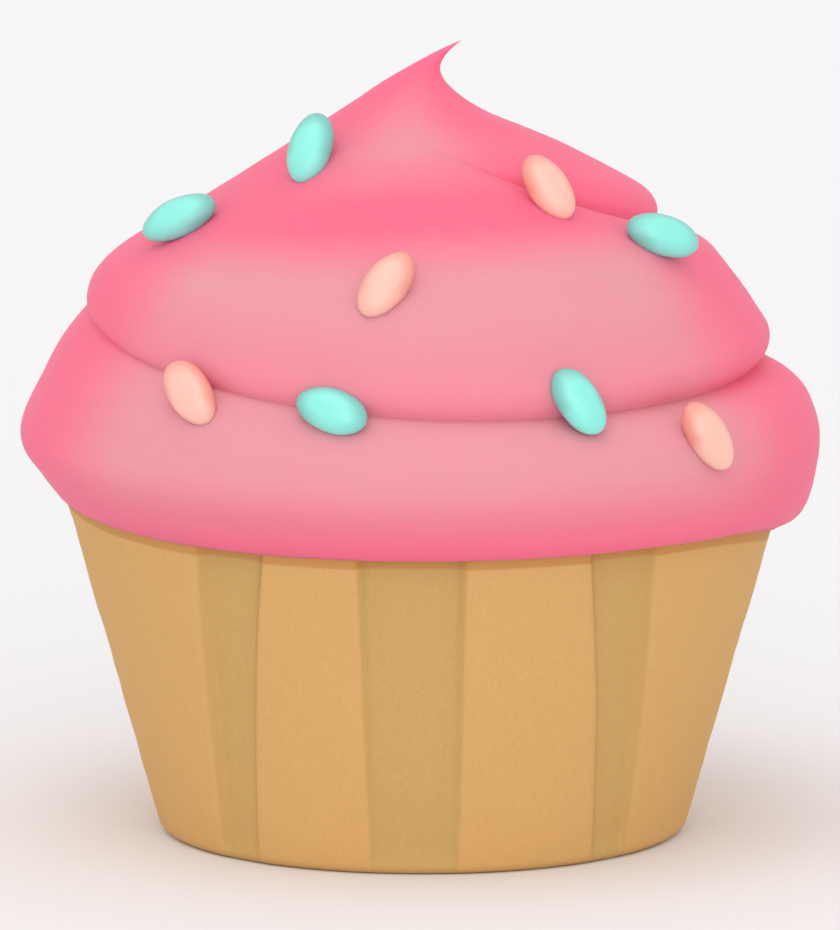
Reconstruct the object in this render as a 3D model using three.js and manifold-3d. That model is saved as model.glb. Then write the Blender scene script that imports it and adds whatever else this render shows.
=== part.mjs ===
// A cupcake: a paper case with eight box pleats, the cake baked in it, and a piped swirl of
// frosting set with oval sprinkles. Lengths are in millimetres and +Z is up. The origin is the
// middle of the case's base, on the table. The front faces -Y, and the peak curls towards +X.
import * as THREE from "three";
import { mergeVertices } from "three/addons/utils/BufferGeometryUtils.js";
import Module from "manifold-3d";

const wasm = await Module();
wasm.setup();

// ---- Driving dimensions ----

// The paper case: a straight-sided cup, with flat panels folded in between raised ones.
const BASE_RADIUS = 25.55; // the side's line carried down to the table
const RIM_RADIUS = 35.16;
const RIM_HEIGHT = 33.9;
const BASE_ROUNDING = 1;
const PAPER = 0.5;
const CLEARANCE = 0.3; // between the paper, the cake and the frosting
const PLEATS = 8;
const PANEL_WIDTH = { base: [4.5, 16.3], rim: [8.3, 14.8] }; // degrees: at the sides, and in front
const FOLD_WIDTH = 1.6; // degrees taken by the slope of one fold
const FOLD_DEPTH = { base: 0.6, rim: 1.2 }; // how far a panel stands in
const FOLD_START = 2; // the folds run out to nothing below this height
const PANEL_DRIFT = { base: -0.9, rim: -12 }; // degrees: how far the slanted panels stray
const PANEL_SWAY = [1.5, -1.8]; // degrees to the right: at the sides, and in front

// The cake: it fills the case and rises in a low dome.
const CAKE_EDGE = 33;
const CAKE_RISE = 4.7;
const CAKE_RADIUS = 33.9;

// The swirl's outline, from the lip over the rim of the case up to the tip. Each column of these
// three rows is one place on the outline: its height, and its distance from the swirl's middle
// line on the right (+X) and on the left.
const HEIGHTS = [32.7, 33.2, 35.3, 39.2, 44.6, 50.4, 56.1, 61, 66, 70.4, 73, 75.3, 77.8];
const RIGHT_RADII = [35.4, 37.3, 38.35, 38.7, 36.8, 33.1, 29.05, 24.3, 16.05, 7.55, 3.8, 1.4, 0];
const LEFT_RADII = [35.3, 35.7, 37.1, 39.25, 37.1, 34, 30.8, 22.7, 15.2, 7.7, 3.8, 1.4, 0];
const LIP_SAG = { right: 2.55, left: -0.85 }; // the lip hangs low on the right, high on the left
const SAG_NARROWNESS = { right: 22, left: 11 };
const SAG_REACH = 3; // places up from the lip that the sag takes to die out
const PEAK_LEAN = { from: 66, to: 71.5, shift: -1.05 }; // the peak first leans a little left
const PEAK_CURL = { from: 72.5, strength: 0.175 }; // and its tip curls over to the right

// The crease between the turns of the swirl. Turns count clockwise seen from above, from 0 on the
// right, and the two rows hold a value for each quarter turn from CREASE_FIRST on.
const CREASE_FIRST = -0.5;
const CREASE_HEIGHTS = [28, 44, 47.75, 47.3, 52.1, 57, 61.65, 69.5, 73, 75.5, 77.8];
const CREASE_DEPTHS = [0, 1.8, 3.1, 2, 1.1, 1.3, 2.4, 0, 0, 0, 0];
const CREASE_FADE = 0.2; // turns over which the crease opens where the coil starts
const LIP_REACH = 0.4; // places taken by a coil's rounded lower lip above the crease
const SHOULDER_REACH = 1; // places taken by the shoulder that rolls in below the crease

// The frosting's mesh.
const COLUMNS = 64; // in one turn
const ROWS = 12; // from one crease up to the next
const ROW_CROWDING = 0.75; // how much closer the rows stand beside a crease
const LIP_EDGE = 0.1; // how much lower the lip's inner edge hangs
const LIP_CLEARANCE = 0.35;
const POCKET_HEIGHT = 34.3; // the hollow that takes the rim of the case
const POCKET_RADIUS = 33.2;
const DOME_RINGS = 3;

// The sprinkles: flat ovals, by where each lies on the swirl (azimuth and height), the lean of
// its long side, and how far it is tipped out of the surface to face the front or the back.
const SPRINKLE_LENGTH = 7.5;
const SPRINKLE_WIDTH = 4.3;
const SPRINKLE_THICKNESS = 2.9;
const SPRINKLE_LIFT = 0.35; // a flat oval's middle above the swirl's outline
const SPRINKLE_PROP = 2.1; // how much higher one would stand that is tipped upright
const SPRINKLE_SETTLE = 0.35; // share of the crease's depth that it settles in
const SPRINKLES = [
  { azimuth: -140.3, height: 67.2, lean: 85, tip: 0.9 },
  { azimuth: -161.9, height: 60.2, lean: 33, tip: 0.8 },
  { azimuth: -29.7, height: 59.7, lean: -20, tip: 0.8 },
  { azimuth: -104.3, height: 47.3, lean: -18, tip: 0.1 },
  { azimuth: -64.9, height: 47.6, lean: -64, tip: 0.2 },
  { azimuth: -50, height: 64.6, lean: -67, tip: 0.8 },
  { azimuth: -97.2, height: 57.8, lean: 59, tip: 0.4 },
  { azimuth: -128.7, height: 47.6, lean: -47, tip: 0.4 },
  { azimuth: -44.1, height: 43.1, lean: -64, tip: 0.4 },
  { azimuth: 76, height: 64.4, lean: 30, tip: 0.2 },
  { azimuth: 124, height: 61, lean: -50, tip: 0.3 },
  { azimuth: 50, height: 58.5, lean: 70, tip: 0.3 },
  { azimuth: 86, height: 52.5, lean: -20, tip: 0.1 },
  { azimuth: 135, height: 48, lean: 60, tip: 0.2 },
  { azimuth: 44, height: 52, lean: -65, tip: 0.2 },
  { azimuth: 62, height: 41.5, lean: 15, tip: 0 },
  { azimuth: 112, height: 39.5, lean: -40, tip: 0 },
];

const FRONT = -90; // degrees
const SIDE_SLOPE = (RIM_RADIUS - BASE_RADIUS) / RIM_HEIGHT;
const LAST_PLACE = HEIGHTS.length - 1;
const TURN_END = CREASE_FIRST + (CREASE_HEIGHTS.length - 1) / 4;

const mix = THREE.MathUtils.lerp;
const radians = THREE.MathUtils.degToRad;

// ---- Solids from rings ----

// A closed mesh from its vertices and triangles.
function closedGeometry(points, triangles) {
  const geometry = new THREE.BufferGeometry().setFromPoints(points);
  geometry.setIndex(triangles);
  return geometry;
}

// A solid swept by rings of points that run counterclockwise seen from above: up the outside and,
// where it is hollow, down the inside. The first and the last ring are closed by a fan.
function solidFromRings(firstMiddle, rings, lastMiddle) {
  const points = [firstMiddle, ...rings.flat(), lastMiddle];
  const size = rings[0].length;
  const corner = (ring, column) => 1 + ring * size + (column % size);
  const triangles = [];
  for (let column = 0; column < size; column++) {
    triangles.push(0, corner(0, column + 1), corner(0, column));
    for (let ring = 0; ring < rings.length - 1; ring++) {
      const [a, b] = [corner(ring, column), corner(ring, column + 1)];
      const [c, d] = [corner(ring + 1, column + 1), corner(ring + 1, column)];
      triangles.push(a, b, c, a, c, d);
    }
    const top = rings.length - 1;
    triangles.push(points.length - 1, corner(top, column), corner(top, column + 1));
  }
  return closedGeometry(points, triangles);
}

// A point at a distance and an azimuth (radians, counterclockwise from +X) from the Z axis.
function polarPoint(radius, azimuth, height) {
  return new THREE.Vector3(radius * Math.cos(azimuth), radius * Math.sin(azimuth), height);
}

// ---- The paper case and the cake ----

// Radius of the raised panels' outer face.
function sideRadius(height) {
  return BASE_RADIUS + SIDE_SLOPE * height;
}

// Columns of one pleat: an azimuth at the base and at the rim (degrees), and 1 where the paper is
// folded in or 0 where it stands out.
function pleatColumns(index) {
  const panel = (number, level) => {
    const fromFront = (360 / PLEATS) * number;
    const angle = radians(fromFront);
    const frontness = Math.cos(angle) ** 4;
    const half = mix(...PANEL_WIDTH[level], frontness) / 2;
    const drift = PANEL_DRIFT[level] * Math.sin(2 * angle) + mix(...PANEL_SWAY, frontness);
    const middle = FRONT + fromFront + drift;
    return { start: middle - half, end: middle + half };
  };
  const [base, rim] = ["base", "rim"].map((level) => {
    const here = panel(index, level);
    const next = panel(index + 1, level);
    const raisedStart = here.end + FOLD_WIDTH;
    const raisedEnd = next.start - FOLD_WIDTH;
    const raised = [0, 0.25, 0.5, 0.75, 1].map((share) => mix(raisedStart, raisedEnd, share));
    return [here.start, (here.start + here.end) / 2, here.end, ...raised];
  });
  return base.map((azimuth, column) => ({
    base: azimuth,
    rim: rim[column],
    folded: column < 3 ? 1 : 0,
  }));
}

const CASE_COLUMNS = Array.from({ length: PLEATS }, (_, index) => pleatColumns(index)).flat();

// One ring of the case, or of the cake that follows its folds, a distance inside its outer face.
function caseRing({ height, inset }) {
  const level = height / RIM_HEIGHT;
  const depth = mix(FOLD_DEPTH.base, FOLD_DEPTH.rim, level) * Math.min(1, height / FOLD_START);
  return CASE_COLUMNS.map(({ base, rim, folded }) =>
    polarPoint(sideRadius(height) - inset - folded * depth, radians(mix(base, rim, level)), height),
  );
}

// The levels of the rounded edge between the flat base and the side, for a face at an inset.
function cornerLevels(inset) {
  const bend = BASE_ROUNDING - inset;
  return [0, 30, 60, 90].map(radians).map((angle) => ({
    height: BASE_ROUNDING - bend * Math.cos(angle),
    inset: BASE_ROUNDING - bend * Math.sin(angle),
  }));
}

// The side's levels above the rounded edge.
function sideLevels(inset, top) {
  return [top / 2, top].map((height) => ({ height, inset }));
}

function paperCase() {
  const outside = [...cornerLevels(0), ...sideLevels(0, RIM_HEIGHT)];
  const inside = [...cornerLevels(PAPER), ...sideLevels(PAPER, RIM_HEIGHT)].reverse();
  const rings = [...outside, ...inside].map(caseRing);
  return solidFromRings(new THREE.Vector3(), rings, new THREE.Vector3(0, 0, PAPER));
}

// Height of the cake's dome at a distance from its middle.
function domeHeight(radius) {
  return CAKE_EDGE + CAKE_RISE * (1 - (radius / CAKE_RADIUS) ** 2);
}

function cake() {
  const inset = PAPER + CLEARANCE;
  const rings = [...cornerLevels(inset), ...sideLevels(inset, CAKE_EDGE)].map(caseRing);
  const edge = rings[rings.length - 1];
  for (const share of [0.97, 2 / 3, 1 / 3]) {
    rings.push(
      edge.map(({ x, y }) => {
        const radius = share * Math.hypot(x, y);
        return polarPoint(radius, Math.atan2(y, x), domeHeight(radius));
      }),
    );
  }
  const bottom = new THREE.Vector3(0, 0, inset);
  return solidFromRings(bottom, rings, new THREE.Vector3(0, 0, domeHeight(0)));
}

// ---- The frosting ----

// A smooth curve through values that stand one step apart. Each is passed at the slope of the line
// between its two neighbours, and past the ends the row goes straight on.
function curveThrough(values, position) {
  const last = values.length - 1;
  const step = THREE.MathUtils.clamp(Math.floor(position), 0, last - 1);
  const x = position - step;
  const before = step > 0 ? values[step - 1] : 2 * values[0] - values[1];
  const after = step + 2 <= last ? values[step + 2] : 2 * values[last] - values[last - 1];
  const [start, end] = [values[step], values[step + 1]];
  const bend = 2 * before - 5 * start + 4 * end - after;
  const twist = 3 * (start - end) + after - before;
  return start + 0.5 * x * (end - before + x * (bend + x * twist));
}

// The swirl's smooth outline at an azimuth: radius and height at a place from lip to tip.
function outline(azimuth, place) {
  const rightness = (1 + Math.cos(azimuth)) / 2;
  const rightSag = LIP_SAG.right * rightness ** SAG_NARROWNESS.right;
  const leftSag = LIP_SAG.left * (1 - rightness) ** SAG_NARROWNESS.left;
  const sag = (rightSag + leftSag) * Math.max(0, 1 - place / SAG_REACH);
  const left = curveThrough(LEFT_RADII, place);
  const right = curveThrough(RIGHT_RADII, place);
  return new THREE.Vector2(
    mix(left, right, rightness) - SIDE_SLOPE * sag,
    curveThrough(HEIGHTS, place) - sag,
  );
}

// The way out of the outline's surface, in the plane of radius and height.
function outlineNormal(azimuth, place) {
  const below = outline(azimuth, Math.max(0, place - 0.01));
  const above = outline(azimuth, Math.min(LAST_PLACE, place + 0.01));
  return new THREE.Vector2(above.y - below.y, below.x - above.x).normalize();
}

// How far the swirl's middle line stands to the right at a height.
function middleLine(height) {
  const { from, to, shift } = PEAK_LEAN;
  const curl = PEAK_CURL.strength * Math.max(0, height - PEAK_CURL.from) ** 2;
  return shift * THREE.MathUtils.smoothstep(height, from, to) + curl;
}

// The place on the outline at a height, by halving.
function placeAtHeight(height) {
  let [low, high] = [0, LAST_PLACE];
  for (let halving = 0; halving < 40; halving++) {
    const middle = (low + high) / 2;
    if (curveThrough(HEIGHTS, middle) < height) low = middle;
    else high = middle;
  }
  return (low + high) / 2;
}

// The crease's place on the outline at a turn, which before the coil starts is the lip itself.
function creasePlace(turn) {
  if (turn >= TURN_END) return LAST_PLACE;
  const quarter = Math.max(0, (turn - CREASE_FIRST) * 4);
  return placeAtHeight(curveThrough(CREASE_HEIGHTS, quarter));
}

// The column at which the crease leaves the lip.
const START_COLUMN = Math.floor(
  COLUMNS *
    Array.from({ length: COLUMNS }, (_, column) => CREASE_FIRST + column / COLUMNS).find(
      (turn) => creasePlace(turn + 1 / COLUMNS) > 0.001,
    ) + 0.5,
);
const TURN_START = START_COLUMN / COLUMNS;

// The crease's depth at a turn.
function creaseDepth(turn) {
  if (turn <= TURN_START || turn >= TURN_END) return 0;
  const opening = Math.min(1, (turn - TURN_START) / CREASE_FADE);
  return opening * Math.max(0, curveThrough(CREASE_DEPTHS, (turn - CREASE_FIRST) * 4));
}

// How far the surface stands inside the outline, at a place between the creases below and above:
// a quarter circle for the coil's lower lip, and a parabola for the shoulder under the next coil.
function creaseRelief(turn, place) {
  const below = creasePlace(turn);
  const above = creasePlace(turn + 1);
  const band = Math.max(1e-6, above - below);
  const lip = Math.min(1, (place - below) / Math.min(LIP_REACH, band / 4));
  const shoulder = Math.min(1, (above - place) / Math.min(SHOULDER_REACH, 0.7 * band));
  const lipDepth = creaseDepth(turn) * (1 - Math.sqrt(1 - (1 - lip) ** 2));
  return lipDepth + creaseDepth(turn + 1) * (1 - shoulder) ** 2;
}

// A point that stands a distance inside the outline.
function outlinePoint(azimuth, place, inside) {
  const flat = outline(azimuth, place).addScaledVector(outlineNormal(azimuth, place), -inside);
  const point = polarPoint(flat.x, azimuth, flat.y);
  point.x += middleLine(flat.y);
  return point;
}

// A point of the swirl, at a turn and a share of the way from the crease below to the one above.
function swirlPoint(turn, rise) {
  const place = mix(creasePlace(turn), creasePlace(turn + 1), rise);
  return outlinePoint(-2 * Math.PI * turn, place, creaseRelief(turn, place));
}

// Height of the lip's lower edge.
function lipHeight(azimuth) {
  return outline(azimuth, 0).y;
}

// The swirl is a ribbon of columns wound round and up. The top row of a column is the bottom row of
// the column one turn on. The ribbon starts in a point on the lip and ends in the tip, and rings
// under it close the frosting down over the cake and round the rim of the case.
function bareFrosting() {
  const points = [];
  const triangles = [];
  const addPoint = (point) => points.push(point) - 1;
  const azimuthOf = (column) => (-2 * Math.PI * column) / COLUMNS;
  const around = Array.from({ length: COLUMNS }, (_, column) => azimuthOf(column));
  const ring = (radiusAt, heightAt) =>
    around.map((azimuth) => {
      const height = heightAt(azimuth);
      return addPoint(polarPoint(radiusAt(height), azimuth, height));
    });

  const under = [];
  for (let number = 1; number <= DOME_RINGS; number++) {
    const radius = (POCKET_RADIUS * number) / DOME_RINGS;
    under.push(ring(() => radius, () => domeHeight(radius) + CLEARANCE));
  }
  const besideCase = (height) => sideRadius(height) + LIP_CLEARANCE;
  under.push(ring(() => POCKET_RADIUS, () => POCKET_HEIGHT));
  under.push(ring(besideCase, () => POCKET_HEIGHT));
  under.push(ring(besideCase, (azimuth) => lipHeight(azimuth) - LIP_EDGE));
  const lip = around.map((azimuth) => addPoint(outlinePoint(azimuth, 0, 0)));
  under.push(lip);

  const firstColumn = START_COLUMN - COLUMNS;
  const lastColumn = Math.round(TURN_END * COLUMNS);
  const tip = addPoint(outlinePoint(0, LAST_PLACE, 0));
  const made = new Map();
  const corner = (column, row) => {
    if (row === ROWS) return corner(column + COLUMNS, 0);
    if (column >= lastColumn) return tip;
    if (column === firstColumn || (row === 0 && column <= START_COLUMN)) {
      return lip[(column + 2 * COLUMNS) % COLUMNS];
    }
    const key = column * ROWS + row;
    if (!made.has(key)) {
      const share = row / ROWS;
      const rise = share - (ROW_CROWDING * Math.sin(2 * Math.PI * share)) / (2 * Math.PI);
      made.set(key, addPoint(swirlPoint(column / COLUMNS, rise)));
    }
    return made.get(key);
  };

  const addTriangle = (a, b, c) => {
    if (a !== b && b !== c && c !== a) triangles.push(a, b, c);
  };
  const addPanel = (a, b, c, d) => {
    addTriangle(a, c, b);
    addTriangle(a, d, c);
  };
  const middle = addPoint(new THREE.Vector3(0, 0, domeHeight(0) + CLEARANCE));
  for (let column = 0; column < COLUMNS; column++) {
    const next = (column + 1) % COLUMNS;
    addTriangle(middle, under[0][column], under[0][next]);
    for (let level = 0; level < under.length - 1; level++) {
      const [low, high] = [under[level], under[level + 1]];
      addPanel(low[column], low[next], high[next], high[column]);
    }
  }
  for (let column = firstColumn; column < lastColumn; column++) {
    for (let row = 0; row < ROWS; row++) {
      const [a, b] = [corner(column, row), corner(column + 1, row)];
      addPanel(a, b, corner(column + 1, row + 1), corner(column, row + 1));
    }
  }
  return closedGeometry(points, triangles);
}

// The turn whose band holds a place of the outline at an azimuth.
function turnAt(azimuth, place) {
  let turn = TURN_START - 1 + THREE.MathUtils.euclideanModulo(-azimuth / (2 * Math.PI) - TURN_START, 1);
  while (creasePlace(turn + 1) < place) turn += 1;
  return turn;
}

// One oval sprinkle on the swirl: a ball stretched along its length, its width and the way it faces.
function sprinkle({ azimuth, height, lean, tip }) {
  const angle = radians(azimuth);
  const place = placeAtHeight(height);
  const settled = SPRINKLE_SETTLE * creaseRelief(turnAt(angle, place), place);
  const normal = outlineNormal(angle, place);
  const upright = polarPoint(normal.x, angle, normal.y);
  const point = outlinePoint(angle, place, settled);
  const facing = upright.clone();
  facing.y += tip * Math.sign(point.y);
  facing.normalize();
  const raised = SPRINKLE_PROP * Math.sin(upright.angleTo(facing));
  point.addScaledVector(upright, SPRINKLE_LIFT + raised);

  const level = new THREE.Vector3(-facing.y, facing.x, 0).normalize();
  const long = level.clone().applyAxisAngle(facing, radians(lean));
  const wide = new THREE.Vector3().crossVectors(facing, long);
  long.multiplyScalar(SPRINKLE_LENGTH / 2);
  wide.multiplyScalar(SPRINKLE_WIDTH / 2);
  facing.multiplyScalar(SPRINKLE_THICKNESS / 2);
  const oval = new THREE.SphereGeometry(1, 8, 5);
  return oval.applyMatrix4(new THREE.Matrix4().makeBasis(long, wide, facing).setPosition(point));
}

// ---- Joining with manifold-3d ----

function toSolid(geometry) {
  const bare = new THREE.BufferGeometry();
  bare.setAttribute("position", geometry.getAttribute("position"));
  bare.setIndex(geometry.getIndex());
  const merged = mergeVertices(bare, 1e-4);
  return new wasm.Manifold(
    new wasm.Mesh({
      numProp: 3,
      vertProperties: merged.attributes.position.array,
      triVerts: new Uint32Array(merged.index.array),
    }),
  );
}

function toGeometry(solid) {
  const { vertProperties, triVerts } = solid.getMesh();
  const geometry = new THREE.BufferGeometry();
  geometry.setAttribute("position", new THREE.BufferAttribute(vertProperties, 3));
  geometry.setIndex(new THREE.BufferAttribute(triVerts, 1));
  return geometry;
}

// The swirl with its sprinkles fused on.
function frosting() {
  let solid = toSolid(bareFrosting());
  for (const spot of SPRINKLES) {
    solid = solid.add(toSolid(sprinkle(spot)));
  }
  return toGeometry(solid);
}

// ---- The cupcake ----

const PIECES = [
  { name: "paper_case", geometry: paperCase(), color: "#dcab6d", roughness: 0.85 },
  { name: "cake", geometry: cake(), color: "#e0b878", roughness: 0.95 },
  { name: "frosting", geometry: frosting(), color: "#f48a9e", roughness: 0.45 },
];

const cupcake = new THREE.Group();
for (const { name, geometry, color, roughness } of PIECES) {
  geometry.computeVertexNormals();
  const material = new THREE.MeshStandardMaterial({ color, roughness, metalness: 0 });
  const mesh = new THREE.Mesh(geometry, material);
  mesh.name = name;
  cupcake.add(mesh);
}

export default cupcake;
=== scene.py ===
"""The finish of a cupcake: piped buttercream with candy ovals, in a pleated baking case.

Shapes are worked out in millimetres, as whole arrays, and put into meshes in metres. +Z is up,
the front faces -Y, and the origin is the middle of the case's base.
"""

import bpy
import numpy as np
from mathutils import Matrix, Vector


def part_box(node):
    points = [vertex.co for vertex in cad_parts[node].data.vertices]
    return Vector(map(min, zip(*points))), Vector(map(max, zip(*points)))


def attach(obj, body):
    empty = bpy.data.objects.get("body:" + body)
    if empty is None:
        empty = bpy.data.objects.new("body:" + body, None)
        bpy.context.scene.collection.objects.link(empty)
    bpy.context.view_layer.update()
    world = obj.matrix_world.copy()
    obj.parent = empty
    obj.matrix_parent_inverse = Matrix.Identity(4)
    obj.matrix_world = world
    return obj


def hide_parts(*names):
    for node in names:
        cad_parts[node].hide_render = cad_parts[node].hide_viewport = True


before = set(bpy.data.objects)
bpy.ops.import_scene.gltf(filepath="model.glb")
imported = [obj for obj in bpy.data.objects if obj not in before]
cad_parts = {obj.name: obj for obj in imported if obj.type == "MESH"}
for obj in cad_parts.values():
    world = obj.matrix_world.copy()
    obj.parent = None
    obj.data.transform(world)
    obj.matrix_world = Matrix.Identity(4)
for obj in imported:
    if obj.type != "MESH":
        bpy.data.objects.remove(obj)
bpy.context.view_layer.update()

MM = 0.001
BODY = "root"

# ---- The baking case ----

BASE_RADIUS = 25.55  # the side's line carried down to the table
RIM_RADIUS = 35.16
RIM_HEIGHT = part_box("paper_case")[1].z / MM
SIDE_SLOPE = (RIM_RADIUS - BASE_RADIUS) / RIM_HEIGHT
BASE_ROUNDING = 1
PAPER = 0.4
PLEATS = 8
PANEL_WIDTH = ((4.5, 16.3), (8.3, 14.8))  # degrees, base and rim: at the sides, and in front
FOLD_WIDTH = 1.6  # degrees taken by the slope of one fold
FOLD_DEPTH = (0.6, 1.2)  # how far a panel stands in, at the base and at the rim
FOLD_START = 2  # the height at which the folds are full
PANEL_DRIFT = (-0.9, -12)  # degrees, base and rim: how far the slanted panels stray
PANEL_SWAY = (1.5, -1.8)  # degrees to the right: at the sides, and in front
FRONT = -90
FOLDED, RISING, RAISED, FALLING = range(4)  # the parts of a pleat, from left to right
PART_COLUMNS = (12, 4, 28, 4)
PART_FOLDS = ((1, 1), (1, 0), (0, 0), (0, 1))  # folded in or not, at each part's start and end
CORNER_LEVELS = 8
SIDE_LEVELS = 46
BASE_RINGS = 3
CRUMPLE = 0.05  # how far the paper wanders in and out
CRUMPLE_START = (0.5, 4)  # heights over which it sets in
CRUMPLE_WAVES = ((1, 9, 12, 11), (0.4, 3, 12, 12))  # share, wavelength, number of waves, seed
RIDGE_WIDTH = 0.7  # degrees over which a lighter fold line, worn and with a painted highlight, fades
PAINTED_SHADOW_REACH = (0.85, 1.15)  # how far the frosting's painted shadow reaches down the paper below it

# ---- The piped swirl ----

# Its outline goes through these places, one step apart, from the lip to the tip.
HEIGHTS = np.array([32.7, 33.2, 35.3, 39.2, 44.6, 50.4, 56.1, 61, 66, 70.4, 73, 75.3, 77.8])
RIGHT_RADII = np.array([35.4, 37.3, 38.35, 38.7, 36.8, 33.1, 29.05, 24.3, 16.05, 7.55, 3.8, 1.4, 0])
LEFT_RADII = np.array([35.3, 35.7, 37.1, 39.25, 37.1, 34, 30.8, 22.7, 15.2, 7.7, 3.8, 1.4, 0])
LIP_SAG = (2.55, -0.85)  # the lip hangs low on the right, and high on the left
SAG_NARROWNESS = (22, 11)  # the higher, the less of the lip's round it takes
SAG_REACH = 3  # places up from the lip that the sag takes to die out
LEAN_HEIGHTS = (66, 71.5)  # heights over which the peak leans to the left
LEAN_SHIFT = -1.05
CURL_HEIGHT = 72.5  # above it the tip curls to the right
CURL_STRENGTH = 0.175
CREASE_FIRST = -0.5  # the turn of the crease's first height and depth
CREASE_STEPS = 4  # heights and depths in a turn
CREASE_HEIGHTS = np.array([28, 44, 47.75, 47.3, 52.1, 57, 61.65, 69.5, 73, 75.5, 77.8])
CREASE_DEPTHS = np.array([0, 1.8, 3.1, 2, 1.1, 1.3, 2.4, 0, 0, 0, 0])
CREASE_FADE = 0.2  # the part of a turn in which it opens
CREASE_CLEAR = 0.001  # places over the lip at which it counts as off it
LIP_REACH = 0.4  # places that the rounding of a coil's lower lip takes
LIP_SHARE = 0.25  # the most of the coil that it takes
SHOULDER_REACH = 1  # the same for the shoulder that rolls in under the next coil
SHOULDER_SHARE = 0.7
DRAG_LINES = ((0.03, 3.1, 0.5, 0), (0.01, 8.3, 1, 2))  # depth, number, share of drift, start
DRAG_DRIFT = ((0.6, 1.7, 0), (0.4, 4.1, 1))  # size, number in a turn, start
DRAG_FADE = 3  # places below the tip over which the lines and the unevenness die out
DRAG_START = 0.5  # places over the lip over which they set in
UNEVEN_WAVES = ((0.05, 16, 10, 5), (0.012, 5, 10, 6))  # depth, wavelength, number of waves, seed
COLUMNS = 480
ROWS = 48
ROW_CROWDING = 0.75  # how much closer the rows lie near the creases
LAST_PLACE = len(HEIGHTS) - 1
NEIGHBOUR = 0.01  # places to either side at which the outline's slope is taken
HALVINGS = 40
TURN_END = CREASE_FIRST + (len(CREASE_HEIGHTS) - 1) / CREASE_STEPS

# The underside: over the cake's dome, and round the rim of the case.
CAKE_EDGE = 33
CAKE_RISE = 4.7
CAKE_RADIUS = 33.9
CLEARANCE = 0.3
POCKET_RADIUS = 33.2
POCKET_HEIGHT = 34.3
LIP_GAP = 0.06  # between the lip and the paper
LIP_EDGE = 0.1  # how much lower the lip's inner edge hangs
LIP_ROUNDING = 0.05
NOSE_STEPS = 5
DOME_RINGS = 6

# Where painted highlight makes the buttercream pale, and where painted shade leaves it deep pink.
EDGE_TURNS = (-0.4, 0, 0.8, 1)
EDGE_PALENESS = (0, 0.63, 0.63, 1)  # at a coil's lower edge, at those turns; less than 1 leaves painted shade there
EDGE_FADE = (0.6, 8)  # heights over a coil's lower edge between which it pales
# At these heights it is pale by these shares.
PALE_HEIGHTS = (58.9, 60.9, 62.6, 65, 67.4, 69, 70.4, 72.4, 75)
PALE_SHARES = (1, 0.5, 0, 0, 0.5, 0.88, 0.75, 0.4, 0)
LEFT_RISE = 1.6  # how much lower the pale heights lie on the left
SIDE_FADE = (0.72, 0.98)  # cosines of the azimuth between which painted shade deepens the coils to the sides
PEAK_FADE = (0, 1)  # the same on the peak
PEAK_START = (62, 67)  # heights over which the coils give way to the peak
PEAK_TURNED = 6  # degrees that the peak's painted highlight faces to the left

# ---- The candy ovals ----

OVAL_LENGTH = 7.5
OVAL_WIDTH = 4.3
OVAL_THICKNESS = 2.9
OVAL_LIFT = 0.35  # a flat oval's middle above the swirl
OVAL_PROP = 2.1  # how much higher one would stand that is tipped upright
OVAL_SETTLE = 0.35  # the share of the crease's relief that it sinks by
OVAL_SPREAD = (0.97, 1.03)  # the smallest and the largest, in shares of the sizes above
OVAL_EGG = 0.05  # how much wider one may be at one end
OVAL_UNEVENNESS = 0.012  # in shares of its size
OVAL_WAVES = (3.5, 6)  # wavelength and number of waves
HANGING_EDGE = 0.6  # how much less painted shade the edge gets on the side that hangs down
OVAL_MERIDIANS = 48
OVAL_PARALLELS = 24
COLLAR_HEIGHT = 0.16  # the frosting pushed up round an oval
COLLAR_PLACE = 1.06  # its crest and its width, in shares of the oval's size
COLLAR_WIDTH = 0.17
# Each oval: azimuth, height, lean of its long side, and tip out of the surface.
MINT_OVALS = [
    (-140.3, 67.2, 85, 0.9),
    (-161.9, 60.2, 33, 0.8),
    (-29.7, 59.7, -20, 0.8),
    (-104.3, 47.3, -18, 0.1),
    (-64.9, 47.6, -64, 0.2),
    (124, 61, -50, 0.3),
    (50, 58.5, 70, 0.3),
    (135, 48, 60, 0.2),
    (62, 41.5, 15, 0),
]
PEACH_OVALS = [
    (-50, 64.6, -67, 0.8),
    (-97.2, 57.8, 59, 0.4),
    (-128.7, 47.6, -47, 0.4),
    (-44.1, 43.1, -64, 0.4),
    (76, 64.4, 30, 0.2),
    (86, 52.5, -20, 0.1),
    (44, 52, -65, 0.2),
    (112, 39.5, -40, 0),
]

# ---- Colours, as display values from 0 to 255 ----

DEEP_PINK = (243, 110, 141)
# The pale pink is a painted highlight on the buttercream's crowns.
PAINTED_HIGHLIGHT_PINK = (226, 151, 162)
CASE_TAN = (214, 169, 106)
# Painted shade on the case's folded-in panels and their slopes.
FOLD_SHADE_TAN = (202, 164, 102)
# The frosting's painted shadow on the paper just below its lip.
PAINTED_SHADOW_TAN = (198, 147, 84)
MINT = (138, 232, 220)
# Painted shade round the edge of each mint oval.
MINT_RIM_SHADE = (120, 190, 183)
PEACH = (246, 190, 175)
# Painted shade round the edge of each peach oval.
PEACH_RIM_SHADE = (232, 152, 138)
SPONGE = (232, 190, 120)
BROWNING = 0.72  # how bright the browned crumb is beside the pale one


def linear(display):
    """The scene-linear colour of a display colour: the sRGB curve undone, channel by channel."""
    share = np.array(display) / 255
    dark = share / 12.92
    light = ((share + 0.055) / 1.055) ** 2.4
    return (*np.where(share <= 0.04045, dark, light).tolist(), 1.0)


# ---- Curves and noise on whole arrays ----

WAVE_SPREAD = (0.7, 1.4)  # the shortest and the longest wave, in shares of the wavelength


def mix(start, end, share):
    """A straight blend from start to end."""
    return start + (end - start) * share


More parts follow.
